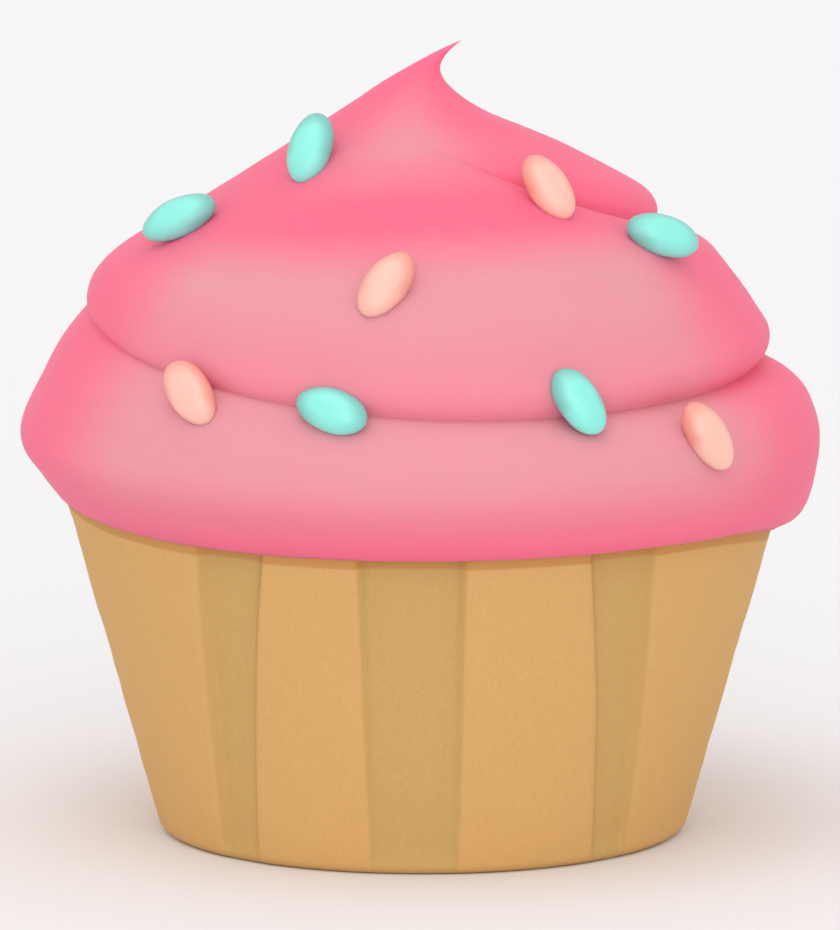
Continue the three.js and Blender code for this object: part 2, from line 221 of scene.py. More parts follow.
def ramp(value, low, high):
    """0 below low, 1 above high, and a straight line between them."""
    return np.clip((value - low) / (high - low), 0, 1)


def smoothstep(value, low, high):
    """0 below low, 1 above high, and the cubic 3t^2 - 2t^3 between them."""
    t = ramp(value, low, high)
    return t * t * (3 - 2 * t)


def curve_through(values, position):
    """A smooth curve through values one step apart.

    Each value is passed at the slope of the line between its neighbours, a cubic joins each two,
    and past both ends the row goes straight on.
    """
    before_first = 2 * values[0] - values[1]
    after_last = 2 * values[-1] - values[-2]
    row = np.concatenate([[before_first], values, [after_last]])
    step = np.clip(np.floor(position).astype(int), 0, len(values) - 2)
    x = position - step
    before, start, end, after = (row[step + k] for k in range(4))
    bend = 2 * before - 5 * start + 4 * end - after
    twist = 3 * (start - end) + after - before
    return start + 0.5 * x * (end - before + x * (bend + x * twist))


def soft_waves(points, wavelength, count, seed):
    """Smooth unevenness in space, about -1 to 1.

    Plane sine waves of about one wavelength, each in its own random direction and with its own
    random start, are added up and divided by the root of their count.
    """
    random = np.random.default_rng(seed)
    total = np.zeros(points.shape[:-1])
    for _ in range(count):
        direction = random.normal(size=3)
        length = wavelength * random.uniform(*WAVE_SPREAD)
        direction *= 2 * np.pi / (length * np.linalg.norm(direction))
        total += np.sin(points @ direction + random.uniform(0, 2 * np.pi))
    return total / np.sqrt(count)


def unevenness(points, rows):
    """Soft waves of several lengths added up.

    Each row is a depth, and the wavelength, count and seed of its waves.
    """
    return sum(depth * soft_waves(points, *waves) for depth, *waves in rows)


def polar_points(radius, azimuth, height):
    """Points from radius, azimuth and height, as one array with x, y and z last."""
    x = radius * np.cos(azimuth)
    y = radius * np.sin(azimuth)
    return np.stack(np.broadcast_arrays(x, y, height), axis=-1)


# ---- Meshes from arrays ----


def make_piece(name, points, triangles, point_values):
    """A smooth-shaded mesh object from points in millimetres and triangles of their numbers.

    point_values are named arrays with one value a point.
    """
    mesh = bpy.data.meshes.new(name)
    mesh.vertices.add(len(points))
    mesh.vertices.foreach_set("co", (points * MM).astype(np.float32).ravel())
    mesh.loops.add(triangles.size)
    mesh.loops.foreach_set("vertex_index", triangles.astype(np.int32).ravel())
    mesh.polygons.add(len(triangles))
    mesh.polygons.foreach_set("loop_start", np.arange(0, triangles.size, 3, dtype=np.int32))
    mesh.update(calc_edges=True)
    mesh.polygons.foreach_set("use_smooth", np.ones(len(triangles), bool))
    for value_name, values in point_values.items():
        attribute = mesh.attributes.new(value_name, "FLOAT", "POINT")
        attribute.data.foreach_set("value", values.astype(np.float32).ravel())
    mesh.validate()
    piece = bpy.data.objects.new(name, mesh)
    bpy.context.scene.collection.objects.link(piece)
    return piece


def ring_numbers(ring_count, size):
    """The grid of point numbers of a closed shell, one row a ring.

    The first point and the last one are poles, with a whole row each, and the rings lie between
    them. The first column comes again at the end, so that the rings close.
    """
    rings = 1 + np.arange(ring_count * size).reshape(ring_count, size)
    first_pole = np.zeros((1, size), int)
    last_pole = np.full((1, size), ring_count * size + 1)
    numbers = np.concatenate([first_pole, rings, last_pole])
    return np.concatenate([numbers, numbers[:, :1]], axis=1)


def grid_triangles(corners):
    """Two triangles for each cell of a grid of point numbers, counterclockwise for rows upwards.

    The grid's first direction runs to the right, and its second upwards. Triangles with two
    corners on one point are left out.
    """
    a, b = corners[:-1, :-1], corners[1:, :-1]
    c, d = corners[1:, 1:], corners[:-1, 1:]
    lower = np.stack([a, b, c], axis=-1).reshape(-1, 3)
    upper = np.stack([a, c, d], axis=-1).reshape(-1, 3)
    triangles = np.concatenate([lower, upper])
    a, b, c = triangles.T
    return triangles[(a != b) & (b != c) & (c != a)]


# ---- The swirl's shape ----


def outline(azimuth, place):
    """The swirl's smooth outline: radius and height at an azimuth and a place from lip to tip.

    The left and the right profile are blended by the cosine of the azimuth. Close to the lip
    both drop by the sag, along the slope of the case's side.
    """
    rightness = (1 + np.cos(azimuth)) / 2
    right_sag = LIP_SAG[0] * rightness ** SAG_NARROWNESS[0]
    left_sag = LIP_SAG[1] * (1 - rightness) ** SAG_NARROWNESS[1]
    sag = (right_sag + left_sag) * np.maximum(0, 1 - place / SAG_REACH)
    left = curve_through(LEFT_RADII, place)
    right = curve_through(RIGHT_RADII, place)
    return mix(left, right, rightness) - SIDE_SLOPE * sag, curve_through(HEIGHTS, place) - sag


def outline_normal(azimuth, place):
    """The way out of the outline, in radius and height: its tangent turned by a right angle."""
    low_radius, low_height = outline(azimuth, np.maximum(0, place - NEIGHBOUR))
    high_radius, high_height = outline(azimuth, np.minimum(LAST_PLACE, place + NEIGHBOUR))
    out, up = high_height - low_height, low_radius - high_radius
    length = np.hypot(out, up)
    return out / length, up / length


def middle_line(height):
    """How far the swirl's middle stands to the right: a soft lean left, then the curl's square."""
    lean = LEAN_SHIFT * smoothstep(height, *LEAN_HEIGHTS)
    return lean + CURL_STRENGTH * np.maximum(0, height - CURL_HEIGHT) ** 2


def place_at_height(height):
    """The place on the outline at a height, by halving the range again and again."""
    low = np.zeros_like(height)
    high = np.full_like(height, LAST_PLACE)
    for _ in range(HALVINGS):
        middle = (low + high) / 2
        too_low = curve_through(HEIGHTS, middle) < height
        low = np.where(too_low, middle, low)
        high = np.where(too_low, high, middle)
    return (low + high) / 2


def crease_height(turn):
    """The crease's height at a turn. Before the coil starts it lies below the lip."""
    step = np.clip((turn - CREASE_FIRST) * CREASE_STEPS, 0, len(CREASE_HEIGHTS) - 1)
    return curve_through(CREASE_HEIGHTS, step)


def crease_place(turn):
    """The crease's place on the outline at a turn: the lip before it starts, the tip at its end."""
    return np.where(turn >= TURN_END, LAST_PLACE, place_at_height(crease_height(turn)))


def coil_foot(turn):
    """The height at which a coil starts: the crease below it, or the lip under the first one."""
    return curve_through(HEIGHTS, crease_place(turn))


def first_crease_turn():
    """The turn at which the crease leaves the lip, on a whole column."""
    turns = CREASE_FIRST + np.arange(COLUMNS) / COLUMNS
    leaves = crease_place(turns + 1 / COLUMNS) > CREASE_CLEAR
    return np.floor(COLUMNS * turns[np.argmax(leaves)] + 0.5) / COLUMNS


TURN_START = first_crease_turn()


def crease_depth(turn):
    """The crease's depth at a turn: it opens evenly from its start, and follows its own curve."""
    opening = np.clip((turn - TURN_START) / CREASE_FADE, 0, 1)
    full_depth = curve_through(CREASE_DEPTHS, (turn - CREASE_FIRST) * CREASE_STEPS)
    outside = (turn <= TURN_START) | (turn >= TURN_END)
    return np.where(outside, 0, opening * np.maximum(0, full_depth))


def crease_relief(turn, place):
    """How far the surface stands inside the outline between two creases.

    A quarter circle rounds the coil's lower lip, and a parabola rolls the shoulder in under the
    next coil.
    """
    below = crease_place(turn)
    above = crease_place(turn + 1)
    band = np.maximum(1e-6, above - below)  # never 0, as it is divided by
    lip = (place - below) / np.minimum(LIP_REACH, LIP_SHARE * band)
    shoulder = (above - place) / np.minimum(SHOULDER_REACH, SHOULDER_SHARE * band)
    lip, shoulder = np.clip(lip, 0, 1), np.clip(shoulder, 0, 1)
    lip_relief = crease_depth(turn) * (1 - np.sqrt(1 - (1 - lip) ** 2))
    return lip_relief + crease_depth(turn + 1) * (1 - shoulder) ** 2


def outline_points(azimuth, place, inside):
    """Points that stand a distance inside the outline, with the middle line's lean and curl."""
    radius, height = outline(azimuth, place)
    out, up = outline_normal(azimuth, place)
    height = height - up * inside
    points = polar_points(radius - out * inside, azimuth, height)
    points[..., 0] += middle_line(height)
    return points


# ---- The candy ovals ----


def turn_at(azimuth, place):
    """The turn whose coil covers a place of the outline at an azimuth."""
    turn = TURN_START - 1 + (-azimuth / (2 * np.pi) - TURN_START) % 1
    while crease_place(turn + 1) < place:
        turn += 1
    return turn


def oval_frame(azimuth, height, lean, tip):
    """An oval's middle, and its half axes as the rows of a matrix: long, wide and facing.

    It faces along the surface's normal, tipped towards the front or the back, and stands higher
    by the sine of that slant. Its long side is level, turned by the lean about the way it faces.
    """
    angle = np.radians(azimuth)
    place = place_at_height(np.array(float(height)))
    settled = OVAL_SETTLE * crease_relief(turn_at(angle, place), place)
    middle = outline_points(angle, place, settled)
    out, up = outline_normal(angle, place)
    upright = np.array([out * np.cos(angle), out * np.sin(angle), up])
    facing = upright + [0, tip * np.sign(middle[1]), 0]
    facing /= np.linalg.norm(facing)
    lift = OVAL_LIFT + OVAL_PROP * np.linalg.norm(np.cross(upright, facing))
    level = np.array([-facing[1], facing[0], 0])
    level /= np.linalg.norm(level)
    turned = np.radians(lean)
    long_side = np.cos(turned) * level + np.sin(turned) * np.cross(facing, level)
    wide_side = np.cross(facing, long_side)
    sizes = np.array([[OVAL_LENGTH], [OVAL_WIDTH], [OVAL_THICKNESS]]) / 2
    return middle + lift * upright, np.stack([long_side, wide_side, facing]) * sizes


def unit_ball():
    """Points and triangles of a ball of radius 1: rings of latitude between two poles."""
    around = np.arange(OVAL_MERIDIANS) * 2 * np.pi / OVAL_MERIDIANS
    down = np.linspace(0, np.pi, OVAL_PARALLELS + 1)[1:-1, None]
    rings = polar_points(np.sin(down), around, np.cos(down))
    points = np.concatenate([[[0, 0, 1.0]], rings.reshape(-1, 3), [[0, 0, -1.0]]])
    return points, grid_triangles(ring_numbers(len(down), OVAL_MERIDIANS))


def make_ovals(name, ovals, material, seed):
    """All candy ovals of one colour as one piece.

    Each is a ball stretched by its half axes, a little wider towards one end, with a soft
    unevenness. The value rim, which paints shade round the edge, is the distance from the middle
    of its faces, 1 round its edge, and less on the half that hangs down.
    """
    random = np.random.default_rng(seed)
    ball, ball_triangles = unit_ball()
    edge = np.hypot(ball[:, 0], ball[:, 1])
    points, triangles, rim_shades = [], [], []
    for number, oval in enumerate(ovals):
        middle, half_axes = oval_frame(*oval)
        egg = 1 + random.uniform(-OVAL_EGG, OVAL_EGG) * ball[:, :1]
        sizes = np.concatenate([np.ones_like(egg), egg, egg], axis=1)
        sizes *= random.uniform(*OVAL_SPREAD, size=3)
        outwards = (ball * sizes) @ half_axes
        uneven = 1 + OVAL_UNEVENNESS * soft_waves(middle + outwards, *OVAL_WAVES, seed + number)
        outwards *= uneven[:, None]
        downwards = -outwards[:, 2] / np.linalg.norm(outwards, axis=1)
        points.append(middle + outwards)
        triangles.append(ball_triangles + len(ball) * number)
        # Painted shade round each oval's edge, lighter on the half that hangs down.
        rim_shades.append(edge * (1 - HANGING_EDGE * np.maximum(0, downwards)))
    values = {"rim": np.concatenate(rim_shades)}
    piece = make_piece(name, np.concatenate(points), np.concatenate(triangles), values)
    piece.data.materials.append(material)
    return piece


# ---- The frosting ----


def collar_relief(points):
    """The frosting pushed up in a rounded collar where an oval sinks in.

    Round each oval it is a bell curve of the distance in the oval's own half axes, highest just
    outside its surface.
    """
    raised = np.zeros(points.shape[:-1])
    for oval in MINT_OVALS + PEACH_OVALS:
        middle, half_axes = oval_frame(*oval)
        sizes = np.linalg.norm(half_axes, axis=1)
        inwards = (points - middle) @ (half_axes / sizes[:, None] ** 2).T
        distance = np.linalg.norm(inwards, axis=-1)
        raised += np.exp(-(((distance - COLLAR_PLACE) / COLLAR_WIDTH) ** 2))
    return COLLAR_HEIGHT * raised


def share_of_coil(turn, place):
    """How far up the coil a place is, from 0 at the crease below it to 1 at the one above.

    The creases meet at the tip, so the height between them is taken as 1 at least.
    """
    foot = crease_height(turn)
    return (curve_through(HEIGHTS, place) - foot) / np.maximum(1, crease_height(turn + 1) - foot)


def drag_lines(turn, across):
    """Fine lines that the nozzle drags along the coil.

    They are sines of the share up it, which drift slowly with the turn and die out at its edges.
    """
    drift = sum(
        size * np.sin(2 * np.pi * turn * number + start) for size, number, start in DRAG_DRIFT
    )
    lines = sum(
        depth * np.sin(2 * np.pi * (number * across + share * drift) + start)
        for depth, number, share, start in DRAG_LINES
    )
    return lines * np.sin(np.pi * across)


def coil_painted_light(turn, place):
    """How pale the buttercream is painted, from 0, deep pink under painted shade, to 1, pale
    under painted highlight.

    It follows three things and takes their product. One is the height over the crease or lip
    below: each coil pales evenly from its lower edge up, the first one from deep pink, so shade is
    painted under each lip and a highlight on the crowns. One is the height alone, lower on the
    left: painted shade, deep again on the shoulder below the peak and at the tip. The last is the
    turn round the swirl: painted shade, deep towards the left and the right side, by the cosine of
    the azimuth, which at the peak is counted from a little to the left.
    """
    height = curve_through(HEIGHTS, place)
    over_edge = height - coil_foot(turn)
    at_edge = np.interp(turn, EDGE_TURNS, EDGE_PALENESS)
    from_edge = mix(at_edge, 1, ramp(over_edge, *EDGE_FADE))
    leftness = np.maximum(0, -np.cos(2 * np.pi * turn))
    by_height = np.interp(height + LEFT_RISE * leftness, PALE_HEIGHTS, PALE_SHARES)
    peak = smoothstep(height, *PEAK_START)
    sideways = np.abs(np.cos(2 * np.pi * turn - np.radians(PEAK_TURNED) * peak))
    fade = (mix(coils, on_peak, peak) for coils, on_peak in zip(SIDE_FADE, PEAK_FADE))
    by_side = 1 - smoothstep(sideways, *fade)
    return from_edge * by_height * by_side


def ribbon_numbers(first, last, start, lip, tip):
    """The ribbon's columns, its grid of point numbers, and which of them are its own points.

    The top row of a column is the bottom row of the column one turn on. Before the coil starts
    the bottom row is the lip, the first column shrinks to one point of it, and the last column
    and everything past it is the tip.
    """
    columns = np.arange(first, last + 1)
    numbers = np.zeros((len(columns), ROWS + 1), int)
    own = np.zeros(numbers.shape, bool)
    own[1:-1, :ROWS] = True
    own[columns <= start, 0] = False
    numbers[own] = tip + 1 + np.arange(own.sum())
    numbers[columns <= start, 0] = lip[columns[columns <= start] % COLUMNS]
    numbers[0, :ROWS] = numbers[0, 0]
    numbers[-1] = tip
    one_turn_on = np.arange(len(columns)) + COLUMNS
    reaches = one_turn_on < len(columns)
    numbers[reaches, ROWS] = numbers[one_turn_on[reaches], 0]
    numbers[~reaches, ROWS] = tip
    return columns, numbers, own


def make_frosting(material):
    """The piped swirl as one closed piece.

    Its skin is a ribbon wound round and up from the lip to the tip: each column runs from one
    crease to the crease above it, on the outline less the crease's relief, plus the nozzle's
    drag lines, a soft unevenness and the collars round the ovals. Rings under it follow the
    cake's dome out to a pocket round the rim of the case, and a rounded nose back to the lip.
    """
    azimuth = -2 * np.pi * np.arange(COLUMNS) / COLUMNS
    lip_radius, lip_height = outline(azimuth, np.zeros(COLUMNS))
    rings = [np.array([[0, 0, CAKE_EDGE + CAKE_RISE + CLEARANCE]])]
    for radius in np.linspace(0, POCKET_RADIUS, DOME_RINGS + 1)[1:]:
        dome = CAKE_EDGE + CAKE_RISE * (1 - (radius / CAKE_RADIUS) ** 2) + CLEARANCE
        rings.append(polar_points(radius, azimuth, dome))
    for radius in (POCKET_RADIUS, BASE_RADIUS + SIDE_SLOPE * POCKET_HEIGHT + LIP_GAP):
        rings.append(polar_points(radius, azimuth, POCKET_HEIGHT))
    side_at = BASE_RADIUS + LIP_GAP + SIDE_SLOPE * (lip_height - LIP_EDGE)
    for bend in np.linspace(0, np.pi, NOSE_STEPS + 1)[:-1]:
        share = (1 - np.cos(bend)) / 2
        dip = LIP_EDGE * (1 - share) + LIP_ROUNDING * np.sin(bend)
        rings.append(polar_points(mix(side_at, lip_radius, share), azimuth, lip_height - dip))
    rings.append(outline_points(azimuth, np.zeros(COLUMNS), 0))
    under_points = np.concatenate(rings)
    under = ring_numbers(len(rings) - 1, COLUMNS)[:-1]
    tip = len(under_points)

    start = round(TURN_START * COLUMNS)
    last = round(TURN_END * COLUMNS)
    columns, numbers, own = ribbon_numbers(start - COLUMNS, last, start, under[-1], tip)
    share = np.arange(ROWS + 1) / ROWS
    rise = share - ROW_CROWDING * np.sin(2 * np.pi * share) / (2 * np.pi)
    turn = columns[:, None] / COLUMNS + 0 * rise
    place = place_at_height(mix(coil_foot(turn), coil_foot(turn + 1), rise))
    across = share_of_coil(turn, place)
    relief = crease_relief(turn, place)
    shape = outline_points(-2 * np.pi * turn, place, relief)
    fading = smoothstep(LAST_PLACE - place, 0, DRAG_FADE) * smoothstep(place, 0, DRAG_START)
    piped = unevenness(shape, UNEVEN_WAVES) + drag_lines(turn, across)
    detail = piped * fading + collar_relief(shape)
    skin = outline_points(-2 * np.pi * turn, place, relief - detail)

    tip_point = outline_points(np.zeros(1), np.full(1, float(LAST_PLACE)), 0)
    points = np.concatenate([under_points, tip_point, skin[own]])
    triangles = np.concatenate([grid_triangles(under.T), grid_triangles(numbers)[:, ::-1]])
    skin_values = {
        # Painted highlight and shade: pale on the crowns, deep under the lips, below the peak and
        # to the sides.
        "paleness_with_painted_light": coil_painted_light(turn, place),
        "along": turn,
        "across": across,
        "coil_face": np.sin(np.pi * np.clip(across, 0, 1)),
    }
    off_skin = np.zeros(tip + 1)
    values = {name: np.concatenate([off_skin, skin_values[name][own]]) for name in skin_values}
    piece = make_piece("piped_swirl", points, triangles, values)
    piece.data.materials.append(material)
    return piece


# ---- The baking case ----


def panel_edges(number, level):
    """The two edges, in degrees, of a folded-in panel at the base (level 0) or the rim (level 1).

    Panels stand evenly round the case. Their width and their sway follow the fourth power of the
    cosine from the sides to the front and back, and they stray by a sine of twice the angle.
    """
    from_front = 360 / PLEATS * number
    angle = np.radians(from_front)
    frontness = np.cos(angle) ** 4
    half = mix(*PANEL_WIDTH[level], frontness) / 2
    drift = PANEL_DRIFT[level] * np.sin(2 * angle) + mix(*PANEL_SWAY, frontness)
    middle = FRONT + from_front + drift
    return middle - half, middle + half


def pleat_folds(number, level):
    """The azimuths, in degrees, at which a pleat's four parts start, and where the last ends."""
    start, end = panel_edges(number, level)
    next_start, _ = panel_edges(number + 1, level)
    return start, end, end + FOLD_WIDTH, next_start - FOLD_WIDTH, next_start


def case_columns():
    """Azimuths at base and rim in degrees, how far each column is folded in, and two paper values.

    Each pleat runs over a folded-in panel, up a slope, over a raised panel and down a slope. The
    first paper value is 1 on the folded-in panel and the slopes, where shade is painted, and the
    second is 1 at a fold and falls off beside it as an exponential.
    """
    base, rim, folded, painted_fold_shade, ridge = [], [], [], [], []
    for number in range(PLEATS):
        at_base, at_rim = pleat_folds(number, 0), pleat_folds(number, 1)
        for part in (FOLDED, RISING, RAISED, FALLING):
            share = np.arange(PART_COLUMNS[part]) / PART_COLUMNS[part]
            base.append(mix(at_base[part], at_base[part + 1], share))
            rim.append(mix(at_rim[part], at_rim[part + 1], share))
            folded.append(mix(*PART_FOLDS[part], share))
            # Painted shade on the folded-in panel and both slopes, none on the raised panel.
            raised_edge = (part == FALLING) & (share == 0)
            painted_fold_shade.append(np.where(raised_edge | (part == RAISED), 0, 1))
            from_fold = np.minimum(share, 1 - share) * (at_rim[part + 1] - at_rim[part])
            from_fold *= part not in (RISING, FALLING)
            ridge.append(np.exp(-from_fold / RIDGE_WIDTH))
    return tuple(np.concatenate(values) for values in (base, rim, folded, painted_fold_shade, ridge))


def case_levels(inset):
    """Heights and insets of the case's side: a quarter circle round the base, then straight up."""
    bend = BASE_ROUNDING - inset
    angle = np.linspace(0, np.pi / 2, CORNER_LEVELS)
    corner = BASE_ROUNDING - bend * np.stack([np.cos(angle), np.sin(angle)], axis=1)
    side = np.linspace(BASE_ROUNDING, RIM_HEIGHT, SIDE_LEVELS + 1)[1:]
    return np.concatenate([corner, np.stack([side, inset + 0 * side], axis=1)])


def make_case(material):
    """The pleated paper case as one thin closed shell.

    Rings of points run up the outer face and down the inner one. A ring's radius is the side's
    straight line less the inset and the depth of the fold, which runs out to nothing at the
    base, with a soft crumple over it. The base is closed by rings that shrink to the middle.
    """
    base, rim, folded, painted_fold_shade, ridge = case_columns()
    levels = np.concatenate([case_levels(0), case_levels(PAPER)[::-1]])
    height, inset = levels[:, :1], levels[:, 1:]
    level = height / RIM_HEIGHT
    azimuth = np.radians(mix(base, rim, level))
    depth = mix(*FOLD_DEPTH, level) * np.minimum(1, height / FOLD_START)
    radius = BASE_RADIUS + SIDE_SLOPE * height - inset - folded * depth
    smooth_shell = polar_points(radius, azimuth, height)
    free = smoothstep(height, *CRUMPLE_START)
    crumple = CRUMPLE * free * unevenness(smooth_shell, CRUMPLE_WAVES)
    shell = polar_points(radius + crumple, azimuth, height)

    shrinking = np.linspace(1, 0, BASE_RINGS + 1)[1:-1, None, None]
    outer_base = (shell[0] * shrinking)[::-1]
    inner_base = shell[-1] * np.concatenate([shrinking, shrinking, 0 * shrinking + 1], axis=2)
    rings = np.concatenate([outer_base, shell, inner_base])
    ring_count, size = rings.shape[:2]
    points = np.concatenate([[[0, 0, 0]], rings.reshape(-1, 3), [[0, 0, PAPER]]])
    triangles = grid_triangles(ring_numbers(ring_count, size).T)

    _, lip_height = outline(np.arctan2(points[:, 1], points[:, 0]), np.zeros(len(points)))
    values = {
        # Painted shade in the folds, lighter fold lines, and the height under the frosting's lip.
        "painted_fold_shade": np.concatenate([[0], np.tile(painted_fold_shade, ring_count), [0]]),
        "ridge": np.concatenate([[0], np.tile(ridge, ring_count), [0]]),
        "below_frosting": lip_height - LIP_EDGE - points[:, 2],
    }
    piece = make_piece("baking_case", points, triangles, values)
    piece.data.materials.append(material)
    return piece


# ---- Materials ----

STREAKS_A_TURN = 9.0  # how closely the drag streaks lie, along the coil and across it
STREAKS_A_COIL = 30.0
STREAK_PALENESS = 0.12  # how much a streak pales or deepens the pink
BUBBLE_LIMIT = 0.9  # of the cells, those whose value is over it hold a bubble
FIBRE_STRETCH = 0.35  # the paper's fibres run longer upwards
WORN_AND_HIGHLIGHT_SHARE = 0.22  # how much lighter the fold lines are, by wear and a painted highlight


def start_material(name, **settings):
    """A new node material, its node tree and its surface shader with the named sockets set."""
    material = bpy.data.materials.new(name)
    material.use_nodes = True
    tree = material.node_tree
    shader = tree.nodes["Principled BSDF"]
    for socket, value in settings.items():
        shader.inputs[socket.replace("_", " ")].default_value = value
    return material, tree, shader


def feed(tree, socket, value):
    """Sets a socket to a value, or links it to another node's output."""
    if isinstance(value, bpy.types.NodeSocket):
        tree.links.new(value, socket)
    else:
        socket.default_value = value


def add_node(tree, kind, settings=None, **inputs):
    """A node with its settings, and its inputs fed with values or other nodes' outputs."""
    node = tree.nodes.new(kind)
    for setting, value in (settings or {}).items():
        setattr(node, setting, value)
    for socket_name, value in inputs.items():
        feed(tree, node.inputs[socket_name.replace("_", " ")], value)
    return node


def surface_value(tree, name):
    """The piece's own value of that name, such as how far it is folded."""
    return add_node(tree, "ShaderNodeAttribute", {"attribute_name": name}).outputs["Fac"]


def object_point(tree):
    """The point of the surface, in metres from the cupcake's own origin."""
    return add_node(tree, "ShaderNodeTexCoord").outputs["Object"]


def noise(tree, point, scale, detail, distortion=0.0):
    """Cloudy noise, about 0 to 1, with its scale in cycles a metre."""
    settings = {"Scale": scale, "Detail": detail, "Distortion": distortion}
    return add_node(tree, "ShaderNodeTexNoise", Vector=point, **settings).outputs[0]


def calculate(tree, operation, first, second, third=0.0):
    """One sum on two or three values or sockets."""
    node = add_node(tree, "ShaderNodeMath", {"operation": operation})
    for socket, value in zip(node.inputs, (first, second, third)):
        feed(tree, socket, value)
    return node.outputs[0]


def spread(tree, pattern, amount, lowest):
    """A pattern from 0 to 1, stretched to an amount above its lowest value."""
    return calculate(tree, "MULTIPLY_ADD", pattern, amount, lowest)


def soft_range(tree, value, low, high, at_low=0.0, at_high=1.0):
    """A smooth change from at_low to at_high while the value goes from low to high."""
    ends = {"From_Min": low, "From_Max": high, "To_Min": at_low, "To_Max": at_high}
    smooth = {"interpolation_type": "SMOOTHSTEP"}
    return add_node(tree, "ShaderNodeMapRange", smooth, Value=value, **ends).outputs[0]


def blend_colours(tree, share, first, second):
    """A colour between two colours or colour sockets."""
    node = add_node(tree, "ShaderNodeMix", {"data_type": "RGBA"})
    for place, value in ((0, share), (6, first), (7, second)):  # the node's sockets for colours
        feed(tree, node.inputs[place], value)
    return node.outputs[2]


def add_bump(tree, height, depth, strength, below=None):
    """A bump of a depth in metres, over the bump below it."""
    bump = add_node(tree, "ShaderNodeBump", Strength=strength, Distance=depth, Height=height)
    if below is not None:
        tree.links.new(below, bump.inputs["Normal"])
    return bump.outputs["Normal"]


def finish_surface(tree, shader, colour, roughness, normal):
    """Links the surface shader's colour, roughness and normal."""
    tree.links.new(colour, shader.inputs["Base Color"])
    tree.links.new(roughness, shader.inputs["Roughness"])
    tree.links.new(normal, shader.inputs["Normal"])


def buttercream():
    """Satin pink buttercream, from deep pink under painted shade to pale under painted highlight,
    as the swirl's own value says.

    It has fine drag streaks that fade towards a coil's edges, a soft grain and a few burst air
    bubbles.
    """
    material, tree, shader = start_material(
        "pink_buttercream",
        Subsurface_Weight=0.5,
        Subsurface_Radius=(1.0, 0.45, 0.5),
        Subsurface_Scale=0.003,
        Specular_IOR_Level=0.17,
    )
    point = object_point(tree)
    along = calculate(tree, "MULTIPLY", surface_value(tree, "along"), STREAKS_A_TURN)
    across = calculate(tree, "MULTIPLY", surface_value(tree, "across"), STREAKS_A_COIL)
    track = add_node(tree, "ShaderNodeCombineXYZ", X=along, Y=across).outputs[0]
    streaks = noise(tree, track, scale=1.0, detail=3.0)
    mottle = noise(tree, point, scale=160.0, detail=3.0)
    grain = noise(tree, point, scale=1600.0, detail=2.0)
    bubbles = add_node(tree, "ShaderNodeTexVoronoi", Vector=point, Scale=330.0, Randomness=1.0)

    centred = calculate(tree, "SUBTRACT", streaks, 0.5)
    dragged = calculate(tree, "MULTIPLY", centred, surface_value(tree, "coil_face"))
    uneven = spread(tree, mottle, amount=0.16, lowest=-0.08)
    streaked = calculate(tree, "MULTIPLY", dragged, STREAK_PALENESS)
    # Painted highlight and shade from the swirl, with the mottle and the drag streaks added to it.
    paleness_with_painted_light = calculate(tree, "ADD", surface_value(tree, "paleness_with_painted_light"), uneven)
    paleness_with_painted_light = calculate(tree, "ADD", paleness_with_painted_light, streaked)
    paleness_with_painted_light = add_node(tree, "ShaderNodeClamp", Value=paleness_with_painted_light).outputs[0]
    colour = blend_colours(tree, paleness_with_painted_light, linear(DEEP_PINK), linear(PAINTED_HIGHLIGHT_PINK))
    roughness = spread(tree, mottle, amount=0.16, lowest=0.5)

    few = calculate(tree, "GREATER_THAN", bubbles.outputs["Color"], BUBBLE_LIMIT)
    distance = bubbles.outputs["Distance"]
    near = soft_range(tree, distance, low=0.04, high=0.13, at_low=1.0, at_high=0.0)
    raised = calculate(tree, "MULTIPLY", calculate(tree, "MULTIPLY", few, near), -1.0)
    normal = add_bump(tree, dragged, depth=0.00012, strength=0.5)
    normal = add_bump(tree, grain, depth=0.00003, strength=0.4, below=normal)
    normal = add_bump(tree, raised, depth=0.0001, strength=0.5, below=normal)
    finish_surface(tree, shader, colour, roughness, normal)
    return material


def candy(name, colour, rim_shade_colour):
    """Smooth sugar shell, clear on its faces, darker round its edge by painted shade, with a light
    mottle.
    """
    material, tree, shader = start_material(
        name,
        Subsurface_Weight=0.35,
        Subsurface_Radius=(1.0, 0.8, 0.7),
        Subsurface_Scale=0.0015,
        Specular_IOR_Level=0.5,
        Coat_Weight=0.35,
        Coat_Roughness=0.18,
    )
    mottle = noise(tree, object_point(tree), scale=900.0, detail=3.0)
    uneven = spread(tree, mottle, amount=0.1, lowest=-0.05)
    # Painted shade round the oval's edge, by its value rim.
    edge = calculate(tree, "ADD", surface_value(tree, "rim"), uneven)
    rim_shade_share = soft_range(tree, edge, low=0.45, high=1.0)
    base = blend_colours(tree, rim_shade_share, linear(colour), linear(rim_shade_colour))
    roughness = spread(tree, mottle, amount=0.14, lowest=0.3)
    normal = add_bump(tree, mottle, depth=0.00004, strength=0.35)
    finish_surface(tree, shader, base, roughness, normal)
    return material


